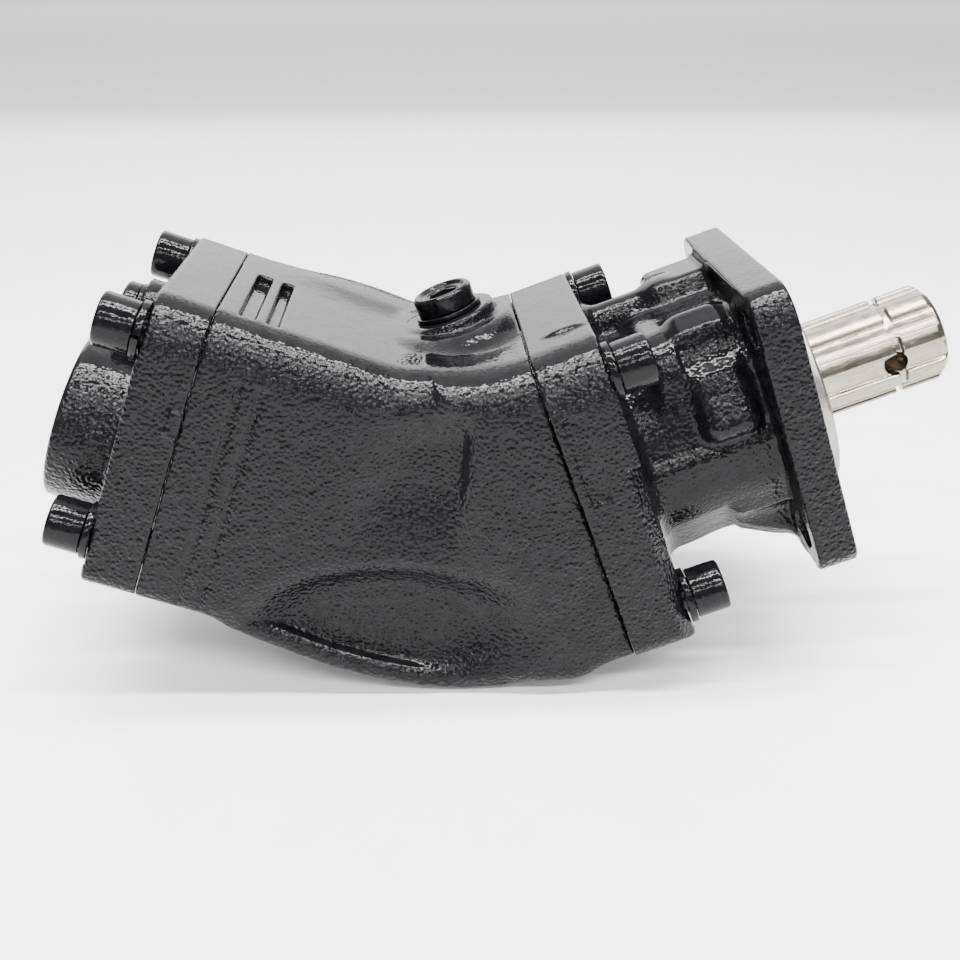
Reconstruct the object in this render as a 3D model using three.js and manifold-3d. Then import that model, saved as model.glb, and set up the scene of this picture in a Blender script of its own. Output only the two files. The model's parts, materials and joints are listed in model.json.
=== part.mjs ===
// Bent-axis axial piston pump for a truck power take-off.
// Lengths are in millimetres and +Z is up.  The drive shaft rises to the right (+X) and
// the cylinder barrel rises to the left (-X); both axes meet at the bend point.
// Parts of the shaft arm are drawn in the shaft frame and parts of the barrel arm in the
// barrel frame: x runs out from the bend point along the arm, z is the arm's upper side.
import * as THREE from 'three';
import { mergeVertices } from 'three/addons/utils/BufferGeometryUtils.js';
import Module from 'manifold-3d';

const wasm = await Module();
wasm.setup();

// ---------------------------------------------------------------- driving dimensions
const DEG = Math.PI / 180;
const ARM_TILT = 20 * DEG;          // each arm rises this much from the horizontal
const BEND_ANGLE = 2 * ARM_TILT;    // angle between the shaft and the barrel axis
const GAP = 0.3;                    // air left between two pieces that touch

// Mounting flange: four-bolt square pattern with a spigot
const FLANGE_FACE = 122;            // flange face, measured along the shaft from the bend
const FLANGE_THICK = 14;
const FLANGE_SIDE = 106;
const FLANGE_HOLE_SPACING = 80;
const FLANGE_HOLE_R = 6.5;
const SPIGOT_R = 40;
const SPIGOT_HEIGHT = 6;

// Splined shaft: eight teeth, 32 x 36
const SHAFT_STICKOUT = 57;          // shaft end beyond the flange face
const SPLINE_TIP_R = 18;
const SPLINE_ROOT_R = 16;
const SPLINE_TEETH = 8;
const SPLINE_TOOTH_WIDTH = 6;
const SPLINE_PHASE = 27 * DEG;      // one tooth stands this far from the upper side
const SHAFT_END = FLANGE_FACE + SHAFT_STICKOUT;

// Casings
const BLOCK_LEFT = 37;              // joint face between barrel housing and bearing housing
const BLOCK_RIGHT = 60;
const BLOCK_HALF_Y = 58;
const BLOCK_TOP = 57;
const BLOCK_BOTTOM = -58;
const COVER_IN = 108;               // joint face between barrel housing and rear cover
const COVER_OUT = 127;
const COVER_HALF_Y = 54;
const COVER_TOP = 50;
const COVER_BOTTOM = -54;
const BARREL_ROOM_R = 43;           // room around the cylinder barrel
const GEAR_ROOM_R = 46.7;           // room around the timing gears
const NECK_HALF = 39;
const NECK_TOP = 43;
const NECK_BOTTOM = -47;

// Casing bolts: M12 cap screws with lock washers
const BOLT_R = 6;
const HEAD_R = 9;
const HEAD_HEIGHT = 12;
const KEY_ACROSS = 10;
const WASHER_R = 10;
const WASHER_THICK = 2.6;
const FRONT_BOLTS = { y: 47, w: 45 };
const REAR_BOLTS = { y: 45, w: 37 };

// Ports and plug
const SUCTION = { y: 6, w: -15, bossR: 30, boreR: 20, face: 150 };
const PRESSURE = { y: 3, w: 28, bossR: 13, boreR: 8.4, face: 135 };
const DRAIN = { u: 15, y: 3, bossR: 16.3, bossTop: 69 };
const FOOT = -57;                   // flat foot under the belly, below the bend point

// Rotating group
const PISTONS = 7;
const BALL_CIRCLE_R = 30;           // ball centres on the drive flange
const BALL_R = 7;
const PISTON_R = 9.3;
const BORE_R = 9.7;
const PISTON_LENGTH = 75;           // ball centre to head centre, along the barrel axis
const BORE_CIRCLE_R = BALL_CIRCLE_R * (1 + Math.cos(BEND_ANGLE)) / 2;
const PISTON_RISE = BALL_CIRCLE_R * Math.sin(BEND_ANGLE);
const BARREL_R = 40.5;
const BARREL_NEAR = 47;
const BARREL_FAR = 103.7;
const GEAR_TEETH = 24;
const GEAR_IN = 37.5;
const GEAR_OUT = 45;

// ---------------------------------------------------------------- frames
const shaftFrame = new THREE.Matrix4().makeRotationY(-ARM_TILT);
const barrelFrame = new THREE.Matrix4().makeBasis(
  new THREE.Vector3(-Math.cos(ARM_TILT), 0, Math.sin(ARM_TILT)),
  new THREE.Vector3(0, -1, 0),
  new THREE.Vector3(Math.sin(ARM_TILT), 0, Math.cos(ARM_TILT)),
);
const world = new THREE.Matrix4();

// ---------------------------------------------------------------- solid helpers
function solidOf(geometry) {
  const bare = new THREE.BufferGeometry();
  bare.setAttribute('position', geometry.getAttribute('position'));
  if (geometry.index) bare.setIndex(geometry.index);
  const merged = mergeVertices(bare, 1e-4);
  const index = merged.index.array;
  const kept = [];
  for (let i = 0; i < index.length; i += 3) {
    const [a, b, c] = [index[i], index[i + 1], index[i + 2]];
    if (a !== b && b !== c && c !== a) kept.push(a, b, c);
  }
  const mesh = new wasm.Mesh({
    numProp: 3,
    vertProperties: new Float32Array(merged.getAttribute('position').array),
    triVerts: new Uint32Array(kept),
  });
  return new wasm.Manifold(mesh);
}

const union = (...solids) => solids.reduce((a, b) => a.add(b));
const cut = (body, ...tools) => tools.reduce((a, b) => a.subtract(b), body);

function place(solid, matrix) {
  return solid.transform(matrix.elements);
}

function at(solid, x, y, z) {
  return solid.translate([x, y, z]);
}

// Closed loop of [x, r] points turned about the X axis.
function turned(profile, segments = 20) {
  const points = profile.map(([x, r]) => new THREE.Vector2(r, x));
  points.push(points[0].clone());
  const area = profile.reduce((sum, [x, r], i) => {
    const [nx, nr] = profile[(i + 1) % profile.length];
    return sum + x * nr - nx * r;
  }, 0);
  if (area > 0) points.reverse();
  const lathe = new THREE.LatheGeometry(points, segments);
  lathe.rotateZ(-Math.PI / 2);
  return solidOf(lathe);
}

function rod(x0, x1, r, segments = 14) {
  return turned([[x0, 0], [x1, 0], [x1, r], [x0, r]], segments);
}

function tube(x0, x1, rIn, rOut, segments = 20) {
  return turned([[x0, rIn], [x1, rIn], [x1, rOut], [x0, rOut]], segments);
}

// Ball with its poles on the X axis.
function ball(r, segments = 10) {
  const sphere = new THREE.SphereGeometry(r, segments, Math.round(segments / 2));
  return solidOf(sphere.rotateZ(-Math.PI / 2));
}

function box(x0, x1, y0, y1, z0, z1) {
  const geometry = new THREE.BoxGeometry(x1 - x0, y1 - y0, z1 - z0);
  geometry.translate((x0 + x1) / 2, (y0 + y1) / 2, (z0 + z1) / 2);
  return solidOf(geometry);
}

// Flat outline in the (y, z) plane pushed along X from x0 to x1, edges broken by `edge`.
function slab(shape, x0, x1, edge = 0, curveSegments = 3) {
  const geometry = new THREE.ExtrudeGeometry(shape, {
    depth: x1 - x0 - 2 * edge,
    bevelEnabled: edge > 0,
    bevelSize: edge,
    bevelOffset: -edge,
    bevelThickness: edge,
    bevelSegments: 1,
    curveSegments,
  });
  geometry.translate(0, 0, x0 + edge);
  geometry.applyMatrix4(new THREE.Matrix4().makeBasis(
    new THREE.Vector3(0, 1, 0),
    new THREE.Vector3(0, 0, 1),
    new THREE.Vector3(1, 0, 0),
  ));
  return solidOf(geometry);
}

// Rectangle with rounded corners; rTop and rBottom are the corner radii.
function roundedRect(y0, y1, z0, z1, rBottom, rTop = rBottom) {
  const shape = new THREE.Shape();
  shape.moveTo(y0 + rBottom, z0);
  shape.lineTo(y1 - rBottom, z0);
  shape.absarc(y1 - rBottom, z0 + rBottom, rBottom, -Math.PI / 2, 0, false);
  shape.lineTo(y1, z1 - rTop);
  shape.absarc(y1 - rTop, z1 - rTop, rTop, 0, Math.PI / 2, false);
  shape.lineTo(y0 + rTop, z1);
  shape.absarc(y0 + rTop, z1 - rTop, rTop, Math.PI / 2, Math.PI, false);
  shape.lineTo(y0, z0 + rBottom);
  shape.absarc(y0 + rBottom, z0 + rBottom, rBottom, Math.PI, 1.5 * Math.PI, false);
  return shape;
}

function hexPrism(x0, x1, across) {
  const shape = new THREE.Shape();
  const r = across / 2 / Math.cos(Math.PI / 6);
  for (let k = 0; k < 6; k += 1) {
    const a = k * Math.PI / 3;
    if (k === 0) shape.moveTo(r, 0);
    else shape.lineTo(r * Math.cos(a), r * Math.sin(a));
  }
  shape.closePath();
  return slab(shape, x0, x1);
}

// Arc-shaped slot between two radii, from angle a0 to a1, pushed from x0 to x1.
function kidney(x0, x1, rIn, rOut, a0, a1) {
  const shape = new THREE.Shape();
  const rMid = (rIn + rOut) / 2;
  const rEnd = (rOut - rIn) / 2;
  shape.absarc(0, 0, rOut, a0, a1, false);
  shape.absarc(rMid * Math.cos(a1), rMid * Math.sin(a1), rEnd, a1, a1 + Math.PI, false);
  shape.absarc(0, 0, rIn, a1, a0, true);
  shape.absarc(rMid * Math.cos(a0), rMid * Math.sin(a0), rEnd, a0 + Math.PI, a0 + 2 * Math.PI);
  return slab(shape, x0, x1);
}

function spun(solid, angle) {
  return solid.rotate([angle / DEG, 0, 0]);
}

function ringOf(count, make) {
  return Array.from({ length: count }, (_, k) => make(2 * Math.PI * k / count, k));
}

function corners({ y, w }) {
  return [[-y, w], [y, w], [-y, -w], [y, -w]];
}

// ---------------------------------------------------------------- scene helpers
const group = new THREE.Group();
group.name = 'bent_axis_pump';

const FINISH = {
  paint: { color: 0x0b0b0d, metalness: 0.1, roughness: 0.25 },
  steel: { color: 0xb4ada2, metalness: 1.0, roughness: 0.32 },
  darkSteel: { color: 0x6d6b68, metalness: 1.0, roughness: 0.4 },
  bronze: { color: 0xa9783f, metalness: 1.0, roughness: 0.4 },
  rubber: { color: 0x161616, metalness: 0.0, roughness: 0.8 },
};

function addMesh(name, solid, matrix, finish) {
  const { vertProperties, triVerts } = place(solid, matrix).getMesh();
  const geometry = new THREE.BufferGeometry();
  geometry.setAttribute('position', new THREE.BufferAttribute(vertProperties, 3));
  geometry.setIndex(new THREE.BufferAttribute(triVerts, 1));
  const mesh = new THREE.Mesh(geometry, new THREE.MeshStandardMaterial(FINISH[finish]));
  mesh.name = name;
  group.add(mesh);
}

// ---------------------------------------------------------------- fasteners
// Cap screw along X: the head sits on the seat and the shank runs back from it.
function capScrew(seat, shankLength) {
  const under = seat + WASHER_THICK + 2 * GAP;
  const body = turned([
    [seat - shankLength, 0],
    [seat - shankLength, BOLT_R - 1],
    [seat - shankLength + 1, BOLT_R],
    [under, BOLT_R],
    [under, HEAD_R],
    [under + HEAD_HEIGHT - 1, HEAD_R],
    [under + HEAD_HEIGHT, HEAD_R - 1],
    [under + HEAD_HEIGHT, 0],
  ], 10);
  return cut(body, hexPrism(under + HEAD_HEIGHT - 6, under + HEAD_HEIGHT + 1, KEY_ACROSS));
}

function lockWasher(seat) {
  const ring = tube(seat + GAP, seat + GAP + WASHER_THICK, BOLT_R + 0.5, WASHER_R, 10);
  return cut(ring, box(seat, seat + 4, 0, WASHER_R + 1, -0.8, 0.8));
}

function addBolts(prefix, pattern, seat, shankLength, matrix) {
  corners(pattern).forEach(([y, w], k) => {
    addMesh(`${prefix}_bolt_${k + 1}`, at(capScrew(seat, shankLength), 0, y, w), matrix, 'paint');
    addMesh(`${prefix}_washer_${k + 1}`, at(lockWasher(seat), 0, y, w), matrix, 'paint');
  });
}

// Turned plug with a hexagon socket, threaded part downwards along -X.
function socketPlug(seat, headR, headHeight, threadR, depth, key) {
  const body = turned([
    [seat - depth, 0],
    [seat - depth, threadR],
    [seat, threadR],
    [seat, headR],
    [seat + headHeight - 1, headR],
    [seat + headHeight, headR - 1],
    [seat + headHeight, 0],
  ], 14);
  return cut(body, hexPrism(seat + headHeight - 7, seat + headHeight + 1, key));
}

// ---------------------------------------------------------------- rear cover
function rearCover() {
  const plate = slab(
    roundedRect(-COVER_HALF_Y, COVER_HALF_Y, COVER_BOTTOM, COVER_TOP, 6, 17),
    COVER_IN + GAP, COVER_OUT, 2.5,
  );
  const suctionBoss = at(turned([
    [COVER_OUT - 5, 0],
    [COVER_OUT - 5, SUCTION.bossR + 2],
    [SUCTION.face - 4, SUCTION.bossR],
    [SUCTION.face, SUCTION.bossR - 3],
    [SUCTION.face, 0],
  ]), 0, SUCTION.y, SUCTION.w);
  const pressureBoss = at(turned([
    [COVER_OUT - 5, 0],
    [COVER_OUT - 5, PRESSURE.bossR + 1],
    [PRESSURE.face - 1, PRESSURE.bossR],
    [PRESSURE.face, PRESSURE.bossR - 1],
    [PRESSURE.face, 0],
  ]), 0, PRESSURE.y, PRESSURE.w);
  const suctionBore = at(rod(COVER_IN + 8, SUCTION.face + 1, SUCTION.boreR), 0, SUCTION.y, SUCTION.w);
  const pressureBore = at(
    rod(COVER_IN + 8, PRESSURE.face + 1, PRESSURE.boreR), 0, PRESSURE.y, PRESSURE.w,
  );
  const lowKidney = kidney(COVER_IN - 1, COVER_IN + 11, 22, 31, -150 * DEG, -30 * DEG);
  const highKidney = kidney(COVER_IN - 1, COVER_IN + 11, 22, 31, 40 * DEG, 140 * DEG);
  const boltHoles = corners(REAR_BOLTS).map(
    ([y, w]) => at(rod(COVER_IN - 1, COVER_OUT + 1, BOLT_R + 0.5, 10), 0, y, w),
  );
  const boltSeats = corners(REAR_BOLTS).map(
    ([y, w]) => at(rod(COVER_OUT - 0.4, COVER_OUT + 8, WASHER_R + 0.6, 10), 0, y, w),
  );
  const pinHole = at(rod(COVER_IN - 1, COVER_IN + 7, 2.9, 16), 0, 34, 0);
  return cut(
    union(plate, suctionBoss, pressureBoss),
    suctionBore, pressureBore, lowKidney, highKidney, pinHole, ...boltHoles, ...boltSeats,
  );
}

// ---------------------------------------------------------------- barrel housing
// Turns a solid drawn along X so that it points up from the shaft axis at the drain boss.
function onDrainAxis(solid) {
  return at(solid.rotate([0, -90, 0]), DRAIN.u, DRAIN.y, 0);
}

function barrelHousing() {
  const shaftSide = slab(
    roundedRect(-BLOCK_HALF_Y, BLOCK_HALF_Y, BLOCK_BOTTOM, BLOCK_TOP, 6, 20),
    -45, BLOCK_LEFT - GAP,
  );
  const barrelSide = slab(
    roundedRect(-COVER_HALF_Y, COVER_HALF_Y, COVER_BOTTOM, COVER_TOP, 6, 17),
    -45, COVER_IN,
  );
  const half = 200;
  // The two arms meet on a plane that leans with the block
  const lean = 15.3;
  const shaftHalf = place(shaftSide, shaftFrame)
    .intersect(box(8, half, -half, half, -half, half).rotate([0, -lean, 0]));
  const barrelHalf = place(barrelSide, barrelFrame)
    .intersect(box(-half, 14, -half, half, -half, half).rotate([0, -lean, 0]));

  // Belly under both arms, from the cover to the block
  const bellyOutline = new THREE.Shape([
    [-103, -10], [-97, -22], [-79, -32], [-55, -43.5], [-23, -54.5], [-12, FOOT],
    [22, FOOT], [44, -49], [50, -42], [40, -10],
  ].map(([x, z]) => new THREE.Vector2(x, z)));
  const belly = solidOf(new THREE.ExtrudeGeometry(bellyOutline, {
    depth: 80, bevelEnabled: true, bevelSize: 6, bevelOffset: -6, bevelThickness: 8, bevelSegments: 2,
  }).translate(0, 0, -40).rotateX(Math.PI / 2));
  // Drain boss on the upper side of the shaft arm, and the saddle that carries it
  const drainBoss = place(onDrainAxis(rod(40, DRAIN.bossTop, DRAIN.bossR, 20)), shaftFrame);
  const saddle = place(onDrainAxis(turned([[36, 0], [36, 42], [64, 20], [64, 0]], 16)), shaftFrame);

  const beyondJoint = place(box(BLOCK_LEFT - GAP, half, -half, half, -half, half), shaftFrame);
  const outside = union(shaftHalf, barrelHalf, belly, saddle, drainBoss)
    .intersect(box(-half, half, -half, half, FOOT, half))
    .subtract(beyondJoint);

  // Scoops that thin the lower flanks beside the belly, and a waist at the bend
  const scoops = [-1, 1].map((side) => solidOf(
    new THREE.SphereGeometry(1, 16, 10).scale(58, 13, 31).translate(-33, side * 62, -30),
  ));
  const waists = [-1, 1].map((side) => solidOf(
    new THREE.CylinderGeometry(40, 40, 62, 24).rotateX(Math.PI / 2).translate(-16, side * 90.5, 14),
  ));

  // Room for the barrel, the gears and the drive flange
  const barrelRoom = place(rod(10, COVER_IN + 1, BARREL_ROOM_R), barrelFrame);
  const roomUpTo = (end) => turned([[-16, 0], [end, 0], [end, GEAR_ROOM_R], [6, GEAR_ROOM_R], [-16, 30]]);
  const gearRoom = place(roomUpTo(27), barrelFrame);
  const flangeRoom = place(roomUpTo(BLOCK_LEFT + 1), shaftFrame);
  const elbowRoom = ball(44, 20);
  const drainHole = place(onDrainAxis(rod(38, DRAIN.bossTop + 1, 8.4)), shaftFrame);
  const frontHole = rod(BLOCK_LEFT - 24, BLOCK_LEFT + 1, BOLT_R + 0.5, 10);
  const rearHole = rod(COVER_IN - 25, COVER_IN + 1, BOLT_R + 0.5, 10);
  const frontHoles = corners(FRONT_BOLTS).map(([y, w]) => place(at(frontHole, 0, y, w), shaftFrame));
  const rearHoles = corners(REAR_BOLTS).map(([y, w]) => place(at(rearHole, 0, y, w), barrelFrame));
  const sealGroove = place(
    tube(COVER_IN - 2.2, COVER_IN + 1, BARREL_ROOM_R + 1, BARREL_ROOM_R + 4.4),
    barrelFrame,
  );
  return cut(
    outside, ...scoops, ...waists, barrelRoom, gearRoom, flangeRoom, elbowRoom, drainHole,
    ...frontHoles, ...rearHoles, sealGroove,
  );
}

// ---------------------------------------------------------------- bearing housing
function flangeShape() {
  const h = FLANGE_SIDE / 2;
  return roundedRect(-h, h, -h, h, 8, 13);
}

function bearingHousing() {
  const block = slab(
    roundedRect(-BLOCK_HALF_Y, BLOCK_HALF_Y, BLOCK_BOTTOM, BLOCK_TOP, 6, 20),
    BLOCK_LEFT, BLOCK_RIGHT, 3,
  );
  const flangeBack = FLANGE_FACE - FLANGE_THICK;
  const neck = slab(
    roundedRect(-NECK_HALF, NECK_HALF, NECK_BOTTOM, NECK_TOP, 18), BLOCK_RIGHT - 2, flangeBack + 2,
  );
  const lug = slab(roundedRect(5, 30, 30, 50, 5), BLOCK_RIGHT + 24, flangeBack + 2, 2);
  const collar = turned([
    [BLOCK_RIGHT - 2, 0],
    [BLOCK_RIGHT - 2, 50],
    [BLOCK_RIGHT + 12, 40],
    [BLOCK_RIGHT + 12, 0],
  ]);
  const flange = slab(flangeShape(), flangeBack, FLANGE_FACE, 1.2);
  const spigot = turned([
    [FLANGE_FACE - 2, 0],
    [FLANGE_FACE - 2, SPIGOT_R],
    [FLANGE_FACE + SPIGOT_HEIGHT - 1, SPIGOT_R],
    [FLANGE_FACE + SPIGOT_HEIGHT, SPIGOT_R - 1],
    [FLANGE_FACE + SPIGOT_HEIGHT, 0],
  ]);
  const webs = [-1, 1].map((side) => slab(
    roundedRect(-8, 8, side > 0 ? 30 : -50, side > 0 ? 48 : -30, 4), flangeBack - 12, flangeBack + 2,
  ));
  const outside = union(block, neck, lug, collar, flange, spigot, ...webs);
  const nutPockets = [[-1, -1], [-1, 1], [1, -1], [1, 1]].map(([a, b]) => at(
    rod(flangeBack - 22, flangeBack, 13.5), 0, a * FLANGE_HOLE_SPACING / 2, b * FLANGE_HOLE_SPACING / 2,
  ));

  // Stepped bore: inner bearing, neck room, outer bearing, seal pocket
  const bore = turned([
    [BLOCK_LEFT - 1, 0],
    [BLOCK_LEFT - 1, 45.3],
    [58.3, 45.3],
    [58.3, 33],
    [82.7, 33],
    [82.7, 34.3],
    [101.3, 34.3],
    [101.3, 27],
    [106, 27],
    [106, 31.3],
    [FLANGE_FACE + SPIGOT_HEIGHT + 1, 31.3],
    [FLANGE_FACE + SPIGOT_HEIGHT + 1, 0],
  ]);
  const ringGroove = tube(118, 120.2, 30, 33);
  const flangeHoles = [[-1, -1], [-1, 1], [1, -1], [1, 1]].map(([a, b]) => at(
    rod(flangeBack - 1, FLANGE_FACE + 1, FLANGE_HOLE_R),
    0, a * FLANGE_HOLE_SPACING / 2, b * FLANGE_HOLE_SPACING / 2,
  ));
  const boltHoles = corners(FRONT_BOLTS).map(
    ([y, w]) => at(rod(BLOCK_LEFT - 1, BLOCK_RIGHT + 1, BOLT_R + 0.5, 10), 0, y, w),
  );
  const boltSeats = corners(FRONT_BOLTS).map(
    ([y, w]) => at(rod(BLOCK_RIGHT - 0.4, BLOCK_RIGHT + 26, WASHER_R + 0.8, 10), 0, y, w),
  );
  const sealGroove = tube(BLOCK_LEFT - 1, BLOCK_LEFT + 2.2, 47, 50.4);
  return cut(
    outside, bore, ringGroove, sealGroove,
    ...nutPockets, ...flangeHoles, ...boltHoles, ...boltSeats,
  );
}

// ---------------------------------------------------------------- drive shaft
function driveShaft() {
  const body = turned([
    [-3, 0],
    [-3, 35],
    [-1.5, 36.9],
    [22, 36.9],
    [22, 46],
    [24, 46],
    [27, 44],
    [34, 33],
    [38.6, 33],
    [38.6, 24.7],
    [66, 24.7],
    [70, 21],
    [81, 21],
    [81, 19.7],
    [103, 19.7],
    [105, 19],
    [FLANGE_FACE - 4, 19],
    [FLANGE_FACE + 1, SPLINE_ROOT_R],
    [SHAFT_END, SPLINE_ROOT_R - 1.5],
    [SHAFT_END, 0],
  ]);
  const teeth = ringOf(SPLINE_TEETH, (angle) => {
    const halfWidth = SPLINE_TOOTH_WIDTH / 2;
    const start = FLANGE_FACE + SPIGOT_HEIGHT + 1;
    const tooth = box(start, SHAFT_END - 1, -halfWidth, halfWidth, 10, SPLINE_TIP_R + 1);
    return spun(tooth, angle + SPLINE_PHASE);
  });
  const splineEnvelope = turned([
    [FLANGE_FACE - 6, 0],
    [FLANGE_FACE - 6, SPLINE_TIP_R],
    [SHAFT_END - 2.5, SPLINE_TIP_R],
    [SHAFT_END, SPLINE_ROOT_R - 0.5],
    [SHAFT_END, 0],
  ], 24);
  const spline = union(...teeth).intersect(splineEnvelope);
  const sockets = ringOf(PISTONS, (angle) => at(
    ball(BALL_R + 0.7), 0, -BALL_CIRCLE_R * Math.sin(angle), BALL_CIRCLE_R * Math.cos(angle),
  ));
  const centreSocket = ball(8.9, 10);
  const snapGroove = tube(SHAFT_END - 19, SHAFT_END - 16.4, SPLINE_ROOT_R - 0.4, SPLINE_TIP_R + 1, 24);
  // Blind cross hole between two teeth, beside the ring groove
  const crossHole = solidOf(new THREE.CylinderGeometry(4, 4, 18, 12)).translate([SHAFT_END - 19.5, -13, 0]);
  return cut(union(body, spline), ...sockets, centreSocket, snapGroove, spun(crossHole, 4 * DEG));
}

// Ring of straight bevel teeth on a 70 degree pitch cone whose apex is the bend point.
function timingGear(phase) {
  const cone = 90 * DEG - ARM_TILT;
  const slope = 1 / Math.tan(cone);
  const rootLift = 1.9;
  const tipLift = 1.35;
  const back = 21.7;
  const base = turned([
    [GEAR_IN * slope + rootLift, GEAR_IN],
    [back, GEAR_IN],
    [back, GEAR_OUT],
    [GEAR_OUT * slope + rootLift * GEAR_OUT / GEAR_IN, GEAR_OUT],
  ], GEAR_TEETH);
  const pitchAngle = 2 * Math.PI / GEAR_TEETH;
  const teeth = ringOf(GEAR_TEETH, (angle) => {
    const points = [];
    for (const r of [GEAR_IN, GEAR_OUT]) {
      const scale = r / GEAR_OUT;
      const halfRoot = pitchAngle * 0.30 * r;
      const halfTip = pitchAngle * 0.13 * r;
      const low = r * slope + rootLift * scale + 0.8;
      const high = r * slope - tipLift * scale;
      points.push([low, -halfRoot, r], [low, halfRoot, r], [high, halfTip, r], [high, -halfTip, r]);
    }
    return spun(wedge(points), angle + phase * pitchAngle);
  });
  return union(base, ...teeth);
}

// Eight-cornered solid: four corners of the near end, then four of the far end.
function wedge(points) {
  const geometry = new THREE.BufferGeometry();
  geometry.setAttribute('position', new THREE.Float32BufferAttribute(points.flat(), 3));
  geometry.setIndex([
    0, 2, 1, 0, 3, 2,
    4, 5, 6, 4, 6, 7,
    0, 1, 5, 0, 5, 4,
    1, 2, 6, 1, 6, 5,
    2, 3, 7, 2, 7, 6,
    3, 0, 4, 3, 4, 7,
  ]);
  return solidOf(geometry);
}

// ---------------------------------------------------------------- bearings
// Taper roller bearing about X; the small end of the rollers points along +X when flip is 1.
function taperBearing({ x0, x1, rBore, rOut, rollers, rollerR, flip }) {
  const mid = (x0 + x1) / 2;
  const halfLength = (x1 - x0) / 2 - 2.5;
  const pitchR = (rBore + rOut) / 2;
  const lean = 12 * DEG * flip;
  const tilt = (dx) => -Math.tan(lean) * dx;
  const track = rollerR / Math.cos(lean) + 0.8;
  const cup = turned([
    [x0, rOut],
    [x0, pitchR + track + tilt(x0 - mid)],
    [x1, pitchR + track + tilt(x1 - mid)],
    [x1, rOut],
  ]);
  const cone = turned([
    [x0, rBore],
    [x0, pitchR - track + tilt(x0 - mid)],
    [x1, pitchR - track + tilt(x1 - mid)],
    [x1, rBore],
  ]);
  const roller = at(rod(-halfLength, halfLength, rollerR, 6).rotate([0, lean / DEG, 0]), mid, 0, pitchR);
  const set = ringOf(rollers, (angle) => spun(roller, angle));
  const cageHalf = 1.1;
  const cage = turned([
    [mid - halfLength - 1.6, pitchR - cageHalf + tilt(-halfLength - 1.6)],
    [mid + halfLength + 1.6, pitchR - cageHalf + tilt(halfLength + 1.6)],
    [mid + halfLength + 1.6, pitchR + cageHalf + tilt(halfLength + 1.6)],
    [mid - halfLength - 1.6, pitchR + cageHalf + tilt(-halfLength - 1.6)],
  ], rollers);
  return { cup, cone, rollers: union(cage, ...set) };
}

// ---------------------------------------------------------------- cylinder barrel
const boreAngles = ringOf(PISTONS, (angle) => angle);

function onCircle(solid, angle, r) {
  return at(solid, 0, -r * Math.sin(angle), r * Math.cos(angle));
}

function cylinderBarrel() {
  const body = turned([
    [BARREL_NEAR, 0],
    [BARREL_NEAR, 37.5],
    [22, 37.5],
    [22, BARREL_R],
    [BARREL_FAR - 2, BARREL_R],
    [BARREL_FAR, BARREL_R - 2],
    [BARREL_FAR, 0],
  ]);
  const bores = boreAngles.map(
    (a) => onCircle(rod(BARREL_NEAR - 1, BARREL_FAR - 4, BORE_R), a, BORE_CIRCLE_R),
  );
  const ports = boreAngles.map((a) => spun(
    kidney(BARREL_FAR - 5, BARREL_FAR + 1, 23.5, 29.5, 90 * DEG - 8 * DEG, 90 * DEG + 8 * DEG), a,
  ));
  const pinBore = rod(BARREL_NEAR - 1, BARREL_FAR - 8, 9.4);
  const tailBore = rod(BARREL_FAR - 10, BARREL_FAR + 1, 5, 20);
  return cut(body, ...bores, ...ports, pinBore, tailBore);
}

function centrePin() {
  return union(ball(8, 10), turned([
    [5, 0], [5, 3.8], [12, 3.8], [17, 6.4], [62, 6.4], [62, 8.9], [66, 8.9], [66, 0],
  ], 12));
}

function centreSpring() {
  const turns = 3.5;
  const steps = Math.round(turns * 8);
  const coil = [];
  for (let i = 0; i <= steps; i += 1) {
    const a = 2 * Math.PI * turns * i / steps;
    coil.push(new THREE.Vector3(69 + 23.5 * i / steps, 6.9 * Math.cos(a), 6.9 * Math.sin(a)));
  }
  const wire = new THREE.Shape();
  wire.absarc(0, 0, 1.4, 0, 2 * Math.PI, false);
  return solidOf(new THREE.ExtrudeGeometry(wire, {
    steps, curveSegments: 3, bevelEnabled: false, extrudePath: new THREE.CatmullRomCurve3(coil),
  }));
}

// Piston k runs from its head, on the bore circle, to its ball on the drive flange.
const toBarrelLocal = new THREE.Matrix4().copy(barrelFrame).invert();

function ballCentre(angle) {
  const local = new THREE.Vector3(0, -BALL_CIRCLE_R * Math.sin(angle), BALL_CIRCLE_R * Math.cos(angle));
  return local.applyMatrix4(shaftFrame);
}

// Rod, neck and head of a piston in the barrel frame.
function piston(angle) {
  const foot = ballCentre(angle).applyMatrix4(toBarrelLocal);
  const head = new THREE.Vector3(
    PISTON_LENGTH + PISTON_RISE * Math.cos(angle),
    BORE_CIRCLE_R * Math.sin(angle),
    BORE_CIRCLE_R * Math.cos(angle),
  );
  const axis = head.clone().sub(foot);
  const length = axis.length();
  const rodShape = turned([
    [BALL_R + 0.2, 0],
    [BALL_R + 0.2, 3.6],
    [12, 4.2],
    [20, 5.6],
    [length - 5, 5.6],
    [length - 5, 0],
  ], 8);
  const headShape = turned([
    [length - 6, 0],
    [length - 6, 6.4],
    [length - 1.2, PISTON_R],
    [length + 1.2, PISTON_R],
    [length + 4.4, 7],
    [length + 4.4, 0],
  ], 14);
  const turn = new THREE.Quaternion().setFromUnitVectors(new THREE.Vector3(1, 0, 0), axis.normalize());
  const matrix = new THREE.Matrix4().makeRotationFromQuaternion(turn).setPosition(foot);
  return place(union(rodShape, headShape), matrix);
}

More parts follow.
